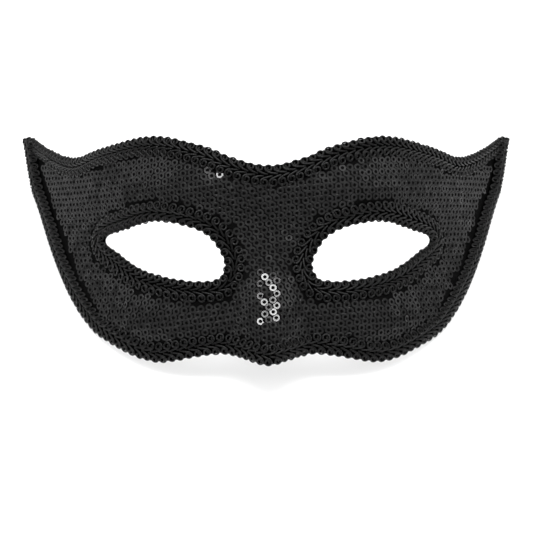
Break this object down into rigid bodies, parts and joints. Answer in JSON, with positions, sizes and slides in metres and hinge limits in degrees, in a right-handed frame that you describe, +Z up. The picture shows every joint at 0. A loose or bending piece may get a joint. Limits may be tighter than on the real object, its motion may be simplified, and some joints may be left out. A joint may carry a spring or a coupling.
{
  "type": "masquerade half mask",
  "caption": "Stiff curved half mask faced with black sequin cloth, with scroll braid round its edge and both eye openings, leaning on its temples",
  "frame": {"origin": "on the surface that the mask rests on, under the middle of its box", "axes": "+X across the mask, to the viewer's right from the front; -Y the way that it faces, with its face turned up; +Z up"},
  "size_m": [0.2124, 0.1478, 0.0719],
  "materials": {
    "sequin_cloth": "black flat sequins on black cloth over a stiff shell",
    "braid_cord": "black twisted rayon cord, satin"
  },
  "bodies": {
    "root": {"mask_shell": "sequin_cloth", "outer_braid": "braid_cord", "left_eye_braid": "braid_cord", "right_eye_braid": "braid_cord"}
  },
  "joints": []
}
